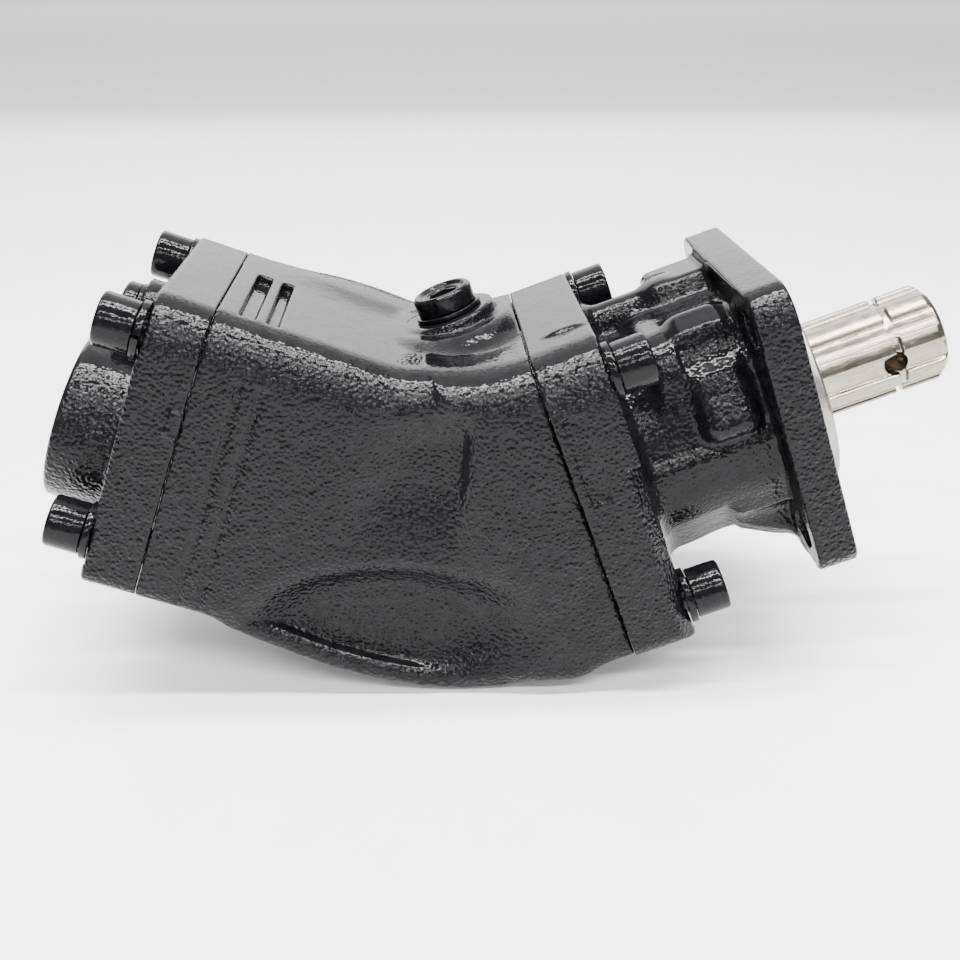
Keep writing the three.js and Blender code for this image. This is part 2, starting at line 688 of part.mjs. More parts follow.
// ---------------------------------------------------------------- assembly
addMesh('rear_cover', rearCover(), barrelFrame, 'paint');
addMesh('barrel_housing', barrelHousing(), world, 'paint');
addMesh('bearing_housing', bearingHousing(), shaftFrame, 'paint');
addBolts('rear', REAR_BOLTS, COVER_OUT - 0.4, 40, barrelFrame);
addBolts('front', FRONT_BOLTS, BLOCK_RIGHT - 0.4, 43, shaftFrame);

addMesh(
  'drain_plug', onDrainAxis(socketPlug(DRAIN.bossTop + 2.1, 10.8, 6.5, 8, 14, 10)), shaftFrame, 'paint',
);
addMesh(
  'drain_washer',
  onDrainAxis(tube(DRAIN.bossTop + GAP, DRAIN.bossTop + 1.8, 8.4, 12, 16)),
  shaftFrame, 'paint',
);
addMesh(
  'pressure_plug',
  at(socketPlug(PRESSURE.face + 2.1, 10, 5, 8, 14, 8), 0, PRESSURE.y, PRESSURE.w),
  barrelFrame, 'paint',
);
addMesh(
  'pressure_plug_washer',
  at(tube(PRESSURE.face + GAP, PRESSURE.face + 1.8, 8.4, 10.4, 16), 0, PRESSURE.y, PRESSURE.w),
  barrelFrame, 'paint',
);
addMesh(
  'rear_casing_seal',
  tube(COVER_IN - 1.9, COVER_IN, BARREL_ROOM_R + 1.3, BARREL_ROOM_R + 4.1),
  barrelFrame, 'rubber',
);
addMesh('front_casing_seal', tube(BLOCK_LEFT, BLOCK_LEFT + 1.9, 47.3, 50.1), shaftFrame, 'rubber');

addMesh('drive_shaft', driveShaft(), shaftFrame, 'steel');
addMesh('shaft_timing_gear', timingGear(0), shaftFrame, 'darkSteel');
const innerBearing = taperBearing({
  x0: 39, x1: 58, rBore: 25, rOut: 45, rollers: 14, rollerR: 5, flip: 1,
});
const outerBearing = taperBearing({
  x0: 83, x1: 101, rBore: 20, rOut: 34, rollers: 12, rollerR: 3.6, flip: -1,
});
addMesh('inner_bearing_cup', innerBearing.cup, shaftFrame, 'steel');
addMesh('inner_bearing_cone', innerBearing.cone, shaftFrame, 'steel');
addMesh('inner_bearing_rollers', innerBearing.rollers, shaftFrame, 'steel');
addMesh('outer_bearing_cup', outerBearing.cup, shaftFrame, 'steel');
addMesh('outer_bearing_cone', outerBearing.cone, shaftFrame, 'steel');
addMesh('outer_bearing_rollers', outerBearing.rollers, shaftFrame, 'steel');
addMesh('shaft_seal', tube(107, 115.5, 19.4, 31), shaftFrame, 'rubber');
addMesh('seal_ring', cut(tube(118.2, 120, 25, 32.6), box(118, 121, -5, 5, 20, 34)), shaftFrame, 'steel');

addMesh('cylinder_barrel', cylinderBarrel(), barrelFrame, 'darkSteel');
addMesh('barrel_timing_gear', timingGear(0.5), barrelFrame, 'darkSteel');
addMesh('centre_pin', centrePin(), barrelFrame, 'steel');
addMesh('centre_spring', centreSpring(), barrelFrame, 'darkSteel');
const valvePlate = cut(
  tube(BARREL_FAR + GAP, COVER_IN - GAP, 9, 39.5),
  kidney(BARREL_FAR - 1, COVER_IN + 1, 23, 30, -150 * DEG, -30 * DEG),
  kidney(BARREL_FAR - 1, COVER_IN + 1, 23, 30, 40 * DEG, 140 * DEG),
  at(rod(BARREL_FAR - 1, COVER_IN + 1, 2.9, 16), 0, 34, 0),
);
addMesh('valve_plate', valvePlate, barrelFrame, 'bronze');
addMesh('valve_pin', at(rod(BARREL_FAR + 0.6, COVER_IN + 6, 2.5, 16), 0, 34, 0), barrelFrame, 'steel');

const retainer = cut(
  tube(-6, -3.3, 12, 22, 21),
  ...ringOf(PISTONS, (a) => onCircle(rod(-8, 0, 10.8, 10), a, BALL_CIRCLE_R)),
);
addMesh('ball_retainer', retainer, shaftFrame, 'steel');

boreAngles.forEach((angle, k) => {
  addMesh(`piston_ball_${k + 1}`, onCircle(ball(BALL_R), angle, BALL_CIRCLE_R), shaftFrame, 'steel');
  addMesh(`piston_${k + 1}`, piston(angle), barrelFrame, 'steel');
});

// Set the pump down: foot on z = 0, centred over the origin.
const bounds = new THREE.Box3().setFromObject(group);
const middle = bounds.getCenter(new THREE.Vector3());
for (const mesh of group.children) {
  mesh.geometry.translate(-middle.x, -middle.y, -bounds.min.z);
}

export default group;
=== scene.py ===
"""Looks of the bent-axis piston pump.

The three castings and the drive shaft are modelled as distance fields in millimetres, meshed with
OpenVDB and moved onto the exact surface. Fasteners are turned or swept meshes. Every place is worked
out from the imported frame: the joints give the two arms and the bend point, the CAD boxes the rest.
"""

import json
import math

import bpy
import numpy as np
import openvdb
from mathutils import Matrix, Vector


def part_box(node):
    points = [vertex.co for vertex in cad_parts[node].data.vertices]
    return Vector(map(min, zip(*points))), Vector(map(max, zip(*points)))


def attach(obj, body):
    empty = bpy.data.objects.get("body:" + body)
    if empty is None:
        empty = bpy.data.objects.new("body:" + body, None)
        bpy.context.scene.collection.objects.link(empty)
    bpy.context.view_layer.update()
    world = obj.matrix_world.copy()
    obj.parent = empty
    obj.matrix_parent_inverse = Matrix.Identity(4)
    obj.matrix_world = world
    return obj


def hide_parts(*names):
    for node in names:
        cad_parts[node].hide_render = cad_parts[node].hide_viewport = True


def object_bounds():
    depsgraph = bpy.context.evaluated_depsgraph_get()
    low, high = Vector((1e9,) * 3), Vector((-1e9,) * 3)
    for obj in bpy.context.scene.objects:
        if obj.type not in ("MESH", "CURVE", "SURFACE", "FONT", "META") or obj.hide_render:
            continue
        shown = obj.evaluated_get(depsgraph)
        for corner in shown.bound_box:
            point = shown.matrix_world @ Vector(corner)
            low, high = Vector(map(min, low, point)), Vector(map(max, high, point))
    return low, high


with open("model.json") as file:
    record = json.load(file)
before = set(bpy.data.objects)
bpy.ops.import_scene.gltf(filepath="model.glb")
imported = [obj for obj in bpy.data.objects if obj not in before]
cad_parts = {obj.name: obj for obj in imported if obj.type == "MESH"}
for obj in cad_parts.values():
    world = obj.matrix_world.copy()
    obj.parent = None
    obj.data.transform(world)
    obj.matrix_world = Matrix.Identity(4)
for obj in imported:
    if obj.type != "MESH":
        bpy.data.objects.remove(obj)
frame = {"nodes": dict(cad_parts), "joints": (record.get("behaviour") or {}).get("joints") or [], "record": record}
CAD_LOW, CAD_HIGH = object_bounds()

# ------------------------------------------------------------------ frame: bend point and two arms
M = 0.001
JOINTS = {j["name"]: j for j in frame["joints"]}
MOUNTS = {m["name"]: m for m in frame["record"]["mounts"]}


def unit(values):
    v = np.array(values, float)
    return v / np.linalg.norm(v)


SHAFT = unit(JOINTS["shaft_spin"]["axis"])
SHAFT = SHAFT * np.sign(SHAFT[0])
BARREL = unit(JOINTS["barrel_spin"]["axis"])
BARREL = -BARREL * np.sign(BARREL[0])
SHAFT_UP = np.array([-SHAFT[2], 0.0, SHAFT[0]])
BARREL_UP = np.array([BARREL[2], 0.0, -BARREL[0]])


def crossing(p, d, q, e):
    """Point where two lines of the bend plane meet."""
    s, _ = np.linalg.solve(np.array([[d[0], -e[0]], [d[2], -e[2]]]), np.array([q[0] - p[0], q[2] - p[2]]))
    return p + s * d


BEND = crossing(
    np.array(JOINTS["shaft_spin"]["pos_m"], float) / M, SHAFT,
    np.array(JOINTS["barrel_spin"]["pos_m"], float) / M, BARREL,
)


def along(point_m, axis):
    """How far a point of the frame lies along an arm, in mm from the bend."""
    return float((np.array(point_m, float) / M - BEND) @ axis)


def node_points(node):
    co = np.zeros(len(frame["nodes"][node].data.vertices) * 3)
    frame["nodes"][node].data.vertices.foreach_get("co", co)
    return co.reshape(-1, 3) / M - BEND


def reach(node, axis):
    """Lowest and highest place of a CAD node along an arm, in mm from the bend."""
    d = node_points(node) @ axis
    return float(d.min()), float(d.max())


# ------------------------------------------------------------------ driving dimensions, in mm
FLANGE_FACE = along(MOUNTS["pto_flange_face"]["pos_m"], SHAFT)
SHAFT_END = along(MOUNTS["shaft_end_face"]["pos_m"], SHAFT)
SUCTION_FACE = along(MOUNTS["suction_port_face"]["pos_m"], BARREL)
BLOCK_LEFT, SPIGOT_END = reach("bearing_housing", SHAFT)
COVER_IN = reach("barrel_housing", BARREL)[1]
JOINT_GAP = 0.3
FLANGE_THICK = 14.0
FLANGE_BACK = FLANGE_FACE - FLANGE_THICK
FLANGE_HALF = 53.0
HOLE_PLACE = 40.0
HOLE_R = 6.5
NUT_POCKET_R = 12.5
SPIGOT_R = 40.0
BLOCK_RIGHT = BLOCK_LEFT + 23.0
BLOCK_HALF_Y = 58.0
BLOCK_TOP = 57.0
BLOCK_BOTTOM = -58.0
COVER_OUT = COVER_IN + 19.0
COVER_HALF_Y = 54.0
COVER_TOP = 50.0
COVER_BOTTOM = -54.0
ARM_ROUND = 17.0
BLOCK_ROUND = 20.0
LOW_ROUND = 6.0
FOOT = CAD_LOW[2] / M - BEND[2]

NODE_Y = {n: float(node_points(n)[:, 1].mean()) for n in frame["nodes"]}


def centre_along(node, axis):
    return float((node_points(node) @ axis).mean())


REAR_BOLTS = [(NODE_Y[f"rear_bolt_{k}"], centre_along(f"rear_bolt_{k}", BARREL_UP)) for k in range(1, 5)]
FRONT_BOLTS = [(NODE_Y[f"front_bolt_{k}"], centre_along(f"front_bolt_{k}", SHAFT_UP)) for k in range(1, 5)]
BOLT_R = 6.0
HEAD_R = 9.0
HEAD_HEIGHT = 12.0
WASHER_R = 10.0
WASHER_THICK = 2.6

SUCTION_Y = -6.0
SUCTION_W = -15.0
SUCTION_R = 30.0
SUCTION_BORE = 20.0
PRESSURE_Y = NODE_Y["pressure_plug"]
PRESSURE_W = float((node_points("pressure_plug") @ BARREL_UP).mean())
PRESSURE_FACE = COVER_IN + 27.0
DRAIN_U = float((node_points("drain_plug") @ SHAFT).mean())
DRAIN_Y = NODE_Y["drain_plug"]
DRAIN_TOP = reach("drain_washer", SHAFT_UP)[0] - JOINT_GAP
DRAIN_R = 16.3


# ------------------------------------------------------------------ distance fields
def span(*parts):
    return np.sqrt(sum(part * part for part in parts))


def join(a, b, r=0.0):
    """Union with a fillet of radius r."""
    if not r:
        return np.minimum(a, b)
    return np.maximum(r, np.minimum(a, b)) - span(np.maximum(r - a, 0), np.maximum(r - b, 0))


def meet(a, b, r=0.0):
    return -join(-a, -b, r)


def cut(a, b, r=0.0):
    """a without b, the rim rounded by r."""
    return -join(-a, b, r)


def melt(a, b, width):
    h = np.maximum(width - np.abs(a - b), 0) / width
    return np.minimum(a, b) - h * h * width / 4


def rect(y, w, y0, y1, w0, w1, r):
    dy = np.abs(y - (y0 + y1) / 2) - (y1 - y0) / 2 + r
    dw = np.abs(w - (w0 + w1) / 2) - (w1 - w0) / 2 + r
    return span(np.maximum(dy, 0), np.maximum(dw, 0)) + np.minimum(np.maximum(dy, dw), 0) - r


def slab(d, a, a0, a1, edge=0.0):
    """The flat outline d pushed along a from a0 to a1, its edges rounded."""
    x = d + edge
    z = np.abs(a - (a0 + a1) / 2) - (a1 - a0) / 2 + edge
    return np.minimum(np.maximum(x, z), 0) + span(np.maximum(x, 0), np.maximum(z, 0)) - edge


def outline(x, z, points):
    """Signed distance to a closed outline."""
    best = np.full(x.shape, 1e12)
    inside = np.zeros(x.shape, bool)
    for (x0, z0), (x1, z1) in zip(points, points[1:] + points[:1]):
        ex, ez = x1 - x0, z1 - z0
        wx, wz = x - x0, z - z0
        t = np.clip((wx * ex + wz * ez) / (ex * ex + ez * ez), 0, 1)
        best = np.minimum(best, (wx - ex * t) ** 2 + (wz - ez * t) ** 2)
        up = (z >= z0) & (z < z1) & (ex * wz > ez * wx)
        down = (z < z0) & (z >= z1) & (ex * wz < ez * wx)
        inside ^= up | down
    return np.where(inside, -1.0, 1.0) * np.sqrt(best)


def kidney(y, w, r_mid, half, middle, spread):
    """Arc-shaped slot about the arm's axis; angles from +y towards up."""
    a = np.arctan2(w, y) - middle
    a = np.arctan2(np.sin(a), np.cos(a))
    r = span(y, w)
    over = np.clip(np.abs(a) - spread, 0, math.pi)
    end = span(r * np.cos(over) - r_mid, r * np.sin(over))
    return np.where(over > 0, end, np.abs(r - r_mid)) - half


def shaft_arm(p):
    rel = p - BEND
    return rel @ SHAFT, rel[:, 1], rel @ SHAFT_UP


def barrel_arm(p):
    rel = p - BEND
    return rel @ BARREL, rel[:, 1], rel @ BARREL_UP


def holes(a, y, w, places, r, a0, a1):
    out = None
    for py, pw in places:
        hole = slab(span(y - py, w - pw) - r, a, a0, a1)
        out = hole if out is None else np.minimum(out, hole)
    return out


def cover_outline(y, h):
    r = np.where(h > 0, ARM_ROUND, LOW_ROUND)
    return rect(y, h, -COVER_HALF_Y, COVER_HALF_Y, COVER_BOTTOM, COVER_TOP, r)


def block_outline(y, w):
    r = np.where(w > 0, BLOCK_ROUND, LOW_ROUND)
    return rect(y, w, -BLOCK_HALF_Y, BLOCK_HALF_Y, BLOCK_BOTTOM, BLOCK_TOP, r)


# ------------------------------------------------------------------ rear cover
def rear_cover(p):
    v, y, h = barrel_arm(p)
    body = slab(cover_outline(y, h) + 0.2, v, COVER_IN - 4, COVER_OUT, 1.8)
    rs = span(y - SUCTION_Y, h - SUCTION_W)
    boss = slab(rs - SUCTION_R - 0.06 * (SUCTION_FACE - v), v, COVER_OUT - 8, SUCTION_FACE, 2.2)
    body = join(body, boss, 4.0)
    rp = span(y - PRESSURE_Y, h - PRESSURE_W)
    body = join(body, slab(rp - 13.0, v, COVER_OUT - 8, PRESSURE_FACE, 1.0), 3.0)
    # index tab beside the joint line
    body = np.maximum(body, COVER_IN + JOINT_GAP - v)
    tab_shape = rect(v, h, COVER_IN - 1, COVER_IN + 4.6, 8, 17.5, 1.2)
    tab = slab(tab_shape, y, -COVER_HALF_Y - 0.9, -COVER_HALF_Y + 3, 0.5)
    body = join(body, np.maximum(tab, COVER_IN + JOINT_GAP - v), 0.6)
    seat = holes(v, y, h, REAR_BOLTS, WASHER_R + 1.4, COVER_OUT - 0.4, COVER_OUT + 9)
    body = cut(body, seat, 0.5)
    thread = 0.55 * np.sin(2 * math.pi * (v / 2.31) + np.arctan2(h - SUCTION_W, y - SUCTION_Y))
    bore = slab(rs - SUCTION_BORE - thread, v, COVER_IN + 8, SUCTION_FACE + 1)
    bore = np.minimum(bore, slab(rs - SUCTION_BORE - 1.8, v, SUCTION_FACE - 2.0, SUCTION_FACE + 2))
    body = cut(body, bore, 0.5)
    body = cut(body, slab(rp - 8.4, v, COVER_IN + 8, PRESSURE_FACE + 1), 0.4)
    low = slab(kidney(-y, h, 26.5, 4.5, -math.pi / 2, math.radians(60)), v, COVER_IN - 1, COVER_IN + 11)
    high = slab(kidney(-y, h, 26.5, 4.5, math.pi / 2, math.radians(50)), v, COVER_IN - 1, COVER_IN + 11)
    pin = slab(span(y + 34, h) - 2.9, v, COVER_IN - 1, COVER_IN + 7)
    body = cut(body, np.minimum(np.minimum(low, high), pin), 0.4)
    return cut(body, holes(v, y, h, REAR_BOLTS, BOLT_R + 0.5, COVER_IN - 1, COVER_OUT + 1), 0.3)


# ------------------------------------------------------------------ barrel housing
LEAN = math.radians(15.3)
BELLY = [
    (-103, -10), (-97, -22), (-79, -32), (-55, -43.5), (-23, -54.5), (-12, -57),
    (22, -57), (44, -49), (50, -42), (40, -10),
]
# lower edge of the rim that runs round the belly
RIM = [
    (-100, -10), (-98, -20), (-90, -27.5), (-79, -33.5), (-67, -39.5), (-55, -45), (-39, -50.5), (-23, -54.5),
    (-7, -56), (8, -55.5), (20, -52), (26, -44), (20, -10),
]
SCOOP_PLACE = (-36.0, -29.0)
SCOOP_SIZE = (68.0, 34.0)
SCOOP_DEPTH = 11.5
WAIST_DEPTH = 9.0


def eased(value):
    v = np.clip(value, 0, 1)
    return v * v * (3 - 2 * v)


def barrel_housing(p):
    u, y, w = shaft_arm(p)
    v, _, h = barrel_arm(p)
    x, z = (p - BEND)[:, 0], (p - BEND)[:, 2]
    side = x * math.cos(LEAN) + z * math.sin(LEAN)
    ay = np.abs(y)
    right = np.maximum(slab(block_outline(y, w) + 0.2, u, -45, BLOCK_LEFT + 4, 0.6), 8 - side)
    left = np.maximum(slab(cover_outline(y, h), v, -45, COVER_IN + 4, 0.6), side - 14)
    arms = melt(right, left, 22.0)
    arms = meet(arms, ay - BLOCK_HALF_Y + 0.3, 4.0)
    # waist at the bend: eases in from the barrel side, ends at a rib on the shaft side
    rib_edge = -7.0 + 0.14 * (z - 28)
    depth = WAIST_DEPTH * eased((x + 58 - 0.25 * z) / 26) * eased((rib_edge + 5 - x) / 8)
    depth = depth * eased((z + 8) / 34) * eased((58 - z) / 20)
    arms = meet(arms, ay - BLOCK_HALF_Y + depth, 7.0)
    # scoops beside the belly
    lens = 1 - span((x - SCOOP_PLACE[0]) / SCOOP_SIZE[0], (z - SCOOP_PLACE[1]) / SCOOP_SIZE[1])
    arms = meet(arms, ay - BLOCK_HALF_Y + SCOOP_DEPTH * eased(lens * 1.7), 3.0)
    # the lower edges are broken where the arms meet
    arms = meet(arms, ((ay - 45) * 8 - (z - FOOT) * 12) / 14.42, 3.0)
    belly = slab(outline(x, z, BELLY), y, -42, 42, 5.0)
    rim = outline(x, z, RIM)
    rim = np.maximum(slab(np.abs(rim + 4.0) - 4.0, y, -52, 52, 3.4), z + 20)
    body = join(join(arms, belly, 4.0), rim, 1.8)
    # low cast ridge on the back of the barrel arm
    ridge = span((v - 58) / 33, (y - 33) / 17, (h - COVER_TOP + 1) / 3.6) - 1
    body = join(body, ridge * 2.5, 1.5)
    # drain boss on its saddle
    rd = span(u - DRAIN_U, y - DRAIN_Y)
    body = join(body, slab(rd - 20.5, w, 20, DRAIN_TOP - 6, 2.0), 11.0)
    body = join(body, slab(rd - DRAIN_R, w, 20, DRAIN_TOP, 1.4), 2.0)
    # grooves round the flank and slots on top, beside the cover
    for place in (COVER_IN - 14.0, COVER_IN - 21.0):
        groove = slab(span(v - place, ay - COVER_HALF_Y - 0.4) - 2.0, h, -60, 33)
        body = cut(body, groove, 0.7)
    for place, half in ((COVER_IN - 9.5, 2.6), (COVER_IN - 18.0, 1.9)):
        slot = slab(rect(v, y, place - half, place + half, -38, 14, 1.2), h, COVER_TOP - 3.2, COVER_TOP + 4)
        body = cut(body, slot, 0.9)
    body = meet(body, FOOT - z, 1.0)
    body = np.maximum(body, u - BLOCK_LEFT + JOINT_GAP)
    body = np.maximum(body, v - COVER_IN)
    # room for the barrel, the gears and the drive flange
    rs, rb = span(y, w), span(y, h)
    room = outline(v, rb, [(10, -9), (COVER_IN + 2, -9), (COVER_IN + 2, 43), (10, 43)])
    gears = outline(v, rb, [(-16, -9), (27, -9), (27, 46.7), (6, 46.7), (-16, 30)])
    disc = outline(u, rs, [(-16, -9), (BLOCK_LEFT + 2, -9), (BLOCK_LEFT + 2, 46.7), (6, 46.7), (-16, 30)])
    elbow = span(x, y, z) - 44
    inner = np.minimum(np.minimum(room, gears), np.minimum(disc, elbow))
    inner = np.minimum(inner, slab(rd - 8.4, w, 38, DRAIN_TOP + 2))
    seal = slab(np.abs(rb - 45.7) - 1.7, v, COVER_IN - 2.2, COVER_IN + 2)
    inner = np.minimum(inner, seal)
    inner = np.minimum(inner, holes(u, y, w, FRONT_BOLTS, BOLT_R + 0.5, BLOCK_LEFT - 24, BLOCK_LEFT + 1))
    inner = np.minimum(inner, holes(v, y, h, REAR_BOLTS, BOLT_R + 0.5, COVER_IN - 25, COVER_IN + 1))
    return np.maximum(body, -inner)


# ------------------------------------------------------------------ bearing housing
BORE = [
    (-1, -9), (-1, 45.3), (21.3, 45.3), (21.3, 33), (45.7, 33), (45.7, 34.3), (64.3, 34.3), (64.3, 27),
    (69, 27), (69, 31.3), (95, 31.3), (95, -9),
]


def rounded_block(a, b, c, ca, cb, cc, ha, hb, hc, r):
    da, db, dc = np.abs(a - ca) - ha + r, np.abs(b - cb) - hb + r, np.abs(c - cc) - hc + r
    outer = span(np.maximum(da, 0), np.maximum(db, 0), np.maximum(dc, 0))
    return outer + np.minimum(np.maximum(da, np.maximum(db, dc)), 0) - r


def bearing_housing(p):
    u, y, w = shaft_arm(p)
    ay, r = np.abs(y), span(y, w)
    block = slab(block_outline(y, w), u, BLOCK_LEFT - 4, BLOCK_RIGHT, 1.2)
    bevel = (u - BLOCK_RIGHT + ay - BLOCK_HALF_Y + 5.5) / math.sqrt(2)
    block = meet(block, np.minimum(bevel, 14 - w), 0.8)
    tube = slab(r - 39.0, u, BLOCK_RIGHT - 3, FLANGE_BACK + 2)
    crown = slab(rect(y, w, -34, 34, 0, 42.5, 16), u, BLOCK_RIGHT + 14, FLANGE_BACK + 2, 4.0)
    tube = join(tube, crown, 5.0)
    # boxy lower half with a shelf on each side
    lower = rect(y, w, -41.5, 41.5, -47.0, 3, 4.0)
    lower = meet(lower, (ay - w - 60) / math.sqrt(2), 5.0)
    hollow = 1.8 * np.exp(-((u - 84) / 10.0) ** 2)
    lower = slab(lower + hollow * np.clip((-w - 10) / 25, 0, 1), u, BLOCK_RIGHT - 3, FLANGE_BACK + 2)
    neck = join(tube, lower, 3.0)
    # bosses over the outer bearing: one on the shoulder, one on the flank
    for angle, lift, wide in ((62, 48.5, 8.5), (25, 44.5, 13.0)):
        c, s = math.cos(math.radians(angle)), math.sin(math.radians(angle))
        out, round_ = ay * c + w * s, -ay * s + w * c
        boss = rounded_block(u, out, round_, BLOCK_RIGHT + 34.5, lift - 12, 0, 10.0, 12.0, wide, 5.0)
        neck = join(neck, boss, 3.5)
    # rib over the top, from the block to the shoulder
    rib = slab(span(y - 13, w - 42) - 7.0, u, BLOCK_RIGHT - 3, BLOCK_RIGHT + 34, 3.0)
    neck = join(neck, rib, 4.0)
    lug = rounded_block(u, y, w, FLANGE_BACK - 9, 17.5, 38, 14, 12.5, 12, 4.5)
    neck = join(neck, lug, 5.0)
    # gussets that run down to the flange's lower corners
    gusset = slab(rect(ay, w, 20, 36, -50, -20, 3.0), u, FLANGE_BACK - 20, FLANGE_BACK + 2, 2.0)
    gusset = meet(gusset, (ay - w - 74 - 0.6 * (u - FLANGE_BACK)) / math.sqrt(2), 2.0)
    neck = join(neck, gusset, 4.0)
    body = np.maximum(join(block, neck, 7.0), BLOCK_LEFT - u)
    # flange
    square = rect(y, w, -FLANGE_HALF, FLANGE_HALF, -FLANGE_HALF, FLANGE_HALF, np.where(w > 0, 13.0, 8.0))
    flange = slab(square, u, FLANGE_BACK, FLANGE_FACE, 1.4)
    body = join(body, flange, 3.5)
    # pockets for the stud nuts
    nuts = None
    for sy in (-1, 1):
        for sw in (-1, 1):
            round_hole = span(y - sy * HOLE_PLACE, w - sw * HOLE_PLACE) - NUT_POCKET_R
            one = slab(round_hole, u, FLANGE_BACK - 23, FLANGE_BACK - 0.4)
            nuts = one if nuts is None else np.minimum(nuts, one)
    body = cut(body, nuts, 1.5)
    # spigot
    body = join(body, slab(r - SPIGOT_R, u, FLANGE_FACE - 3, SPIGOT_END, 0.7), 0.6)
    # raised frame on the block's flank
    pad_shape = rect(u, w, BLOCK_LEFT + 2.0, BLOCK_LEFT + 11.8, 5, 40, 1.5)
    pad = slab(pad_shape, y, -BLOCK_HALF_Y, -BLOCK_HALF_Y + 4)
    panel_shape = rect(u, w, BLOCK_LEFT + 3.2, BLOCK_LEFT + 10.6, 6.2, 38.8, 1.0)
    panel = slab(panel_shape, y, -BLOCK_HALF_Y - 3, -BLOCK_HALF_Y + 0.9)
    body = cut(body, panel, 0.5)
    body = np.minimum(body, np.maximum(pad, -panel))
    # cast bumps on the block's top
    bump = span((u - BLOCK_LEFT - 14) / 7, (y + 27) / 1.9, (w - BLOCK_TOP) / 1.3) - 1
    body = join(body, bump * 1.6, 0.8)
    seat = holes(u, y, w, FRONT_BOLTS, WASHER_R + 0.9, BLOCK_RIGHT - 0.4, BLOCK_RIGHT + 24)
    body = cut(body, seat, 0.8)
    inner = outline(u - BLOCK_LEFT, r, BORE)
    inner = np.minimum(inner, slab(np.abs(r - 31.5) - 1.5, u, FLANGE_FACE - 4, FLANGE_FACE - 1.8))
    inner = np.minimum(inner, slab(np.abs(r - 48.7) - 1.7, u, BLOCK_LEFT - 2, BLOCK_LEFT + 2.2))
    places = [(a * HOLE_PLACE, b * HOLE_PLACE) for a in (-1, 1) for b in (-1, 1)]
    studs = holes(u, y, w, places, HOLE_R, FLANGE_BACK - 1, FLANGE_FACE + 1)
    body = cut(body, studs, 0.5)
    inner = np.minimum(inner, holes(u, y, w, FRONT_BOLTS, BOLT_R + 0.5, BLOCK_LEFT - 1, BLOCK_RIGHT + 1))
    return cut(body, inner, 0.3)


# ------------------------------------------------------------------ drive shaft
TEETH = 8
TIP_R = 18.0
ROOT_R = 16.0
TOOTH_WIDTH = 6.0
TOOTH_PHASE = math.radians(27)
RING_GROOVE = SHAFT_END - 17.7
CROSS_HOLE = SHAFT_END - 19.5
CROSS_HOLE_R = 4.15
TOOTH_START = SPIGOT_END + 1.2
CROSS_TURN = math.radians(4)
SHAFT_PROFILE = [
    (-3, -9), (-3, 35), (-1.5, 36.9), (22, 36.9), (22, 46), (24, 46), (27, 44), (34, 33), (38.6, 33),
    (38.6, 24.7), (66, 24.7), (70, 21), (81, 21), (81, 19.7), (103, 19.7), (105, 19),
    (FLANGE_FACE - 4, 19), (FLANGE_FACE + 1, ROOT_R), (SHAFT_END - 1.5, ROOT_R), (SHAFT_END, ROOT_R - 1.5),
    (SHAFT_END, -9),
]


def drive_shaft(p):
    u, y, w = shaft_arm(p)
    r = span(y, w)
    body = outline(u, r, SHAFT_PROFILE)
    a = np.arctan2(-y, w) - TOOTH_PHASE
    step = 2 * math.pi / TEETH
    a = a - step * np.round(a / step)
    across = np.abs(r * np.sin(a)) - TOOTH_WIDTH / 2
    tip = outline(u, r, [
        (TOOTH_START, 0), (TOOTH_START, ROOT_R), (TOOTH_START + 2, TIP_R), (SHAFT_END - 3, TIP_R),
        (SHAFT_END - 0.6, ROOT_R - 0.4), (SHAFT_END - 0.6, 0),
    ])
    tooth = meet(across, tip, 0.55)
    body = join(body, tooth, 0.5)
    groove = slab(np.abs(r - TIP_R - 2) - 4.1, u, RING_GROOVE - 1.3, RING_GROOVE + 1.3)
    body = cut(body, groove, 0.25)
    cy = y * math.cos(CROSS_TURN) + w * math.sin(CROSS_TURN)
    cw = -y * math.sin(CROSS_TURN) + w * math.cos(CROSS_TURN)
    cross = np.maximum(span(u - CROSS_HOLE, cw) - CROSS_HOLE_R, np.abs(cy + 17) - 13)
    body = cut(body, cross, 0.4)
    centre = outline(u, r, [
        (SHAFT_END - 12, 0), (SHAFT_END - 12, 2.5), (SHAFT_END - 4, 2.6), (SHAFT_END + 1, 6.0),
        (SHAFT_END + 1, 0),
    ])
    body = cut(body, centre, 0.2)
    sockets = span(u, y, w) - 8.9
    for k in range(1, 8):
        c = node_points(f"piston_ball_{k}").mean(axis=0)
        sockets = np.minimum(sockets, span(u - c @ SHAFT, y - c[1], w - c @ SHAFT_UP) - 7.7)
    return cut(body, sockets, 0.3)


# ------------------------------------------------------------------ meshing
def finish_mesh(name, points, faces, smooth=True, sharp=None):
    mesh = bpy.data.meshes.new(name)
    mesh.from_pydata((np.asarray(points) * M).tolist(), [], [list(map(int, f)) for f in faces])
    mesh.validate()
    if smooth:
        mesh.polygons.foreach_set("use_smooth", [True] * len(mesh.polygons))
    if sharp:
        mesh.set_sharp_from_angle(angle=math.radians(sharp))
    obj = bpy.data.objects.new(name, mesh)
    bpy.context.scene.collection.objects.link(obj)
    return obj


def sampled(field, points, size=400000):
    return np.concatenate([field(points[i:i + size]) for i in range(0, len(points), size)])


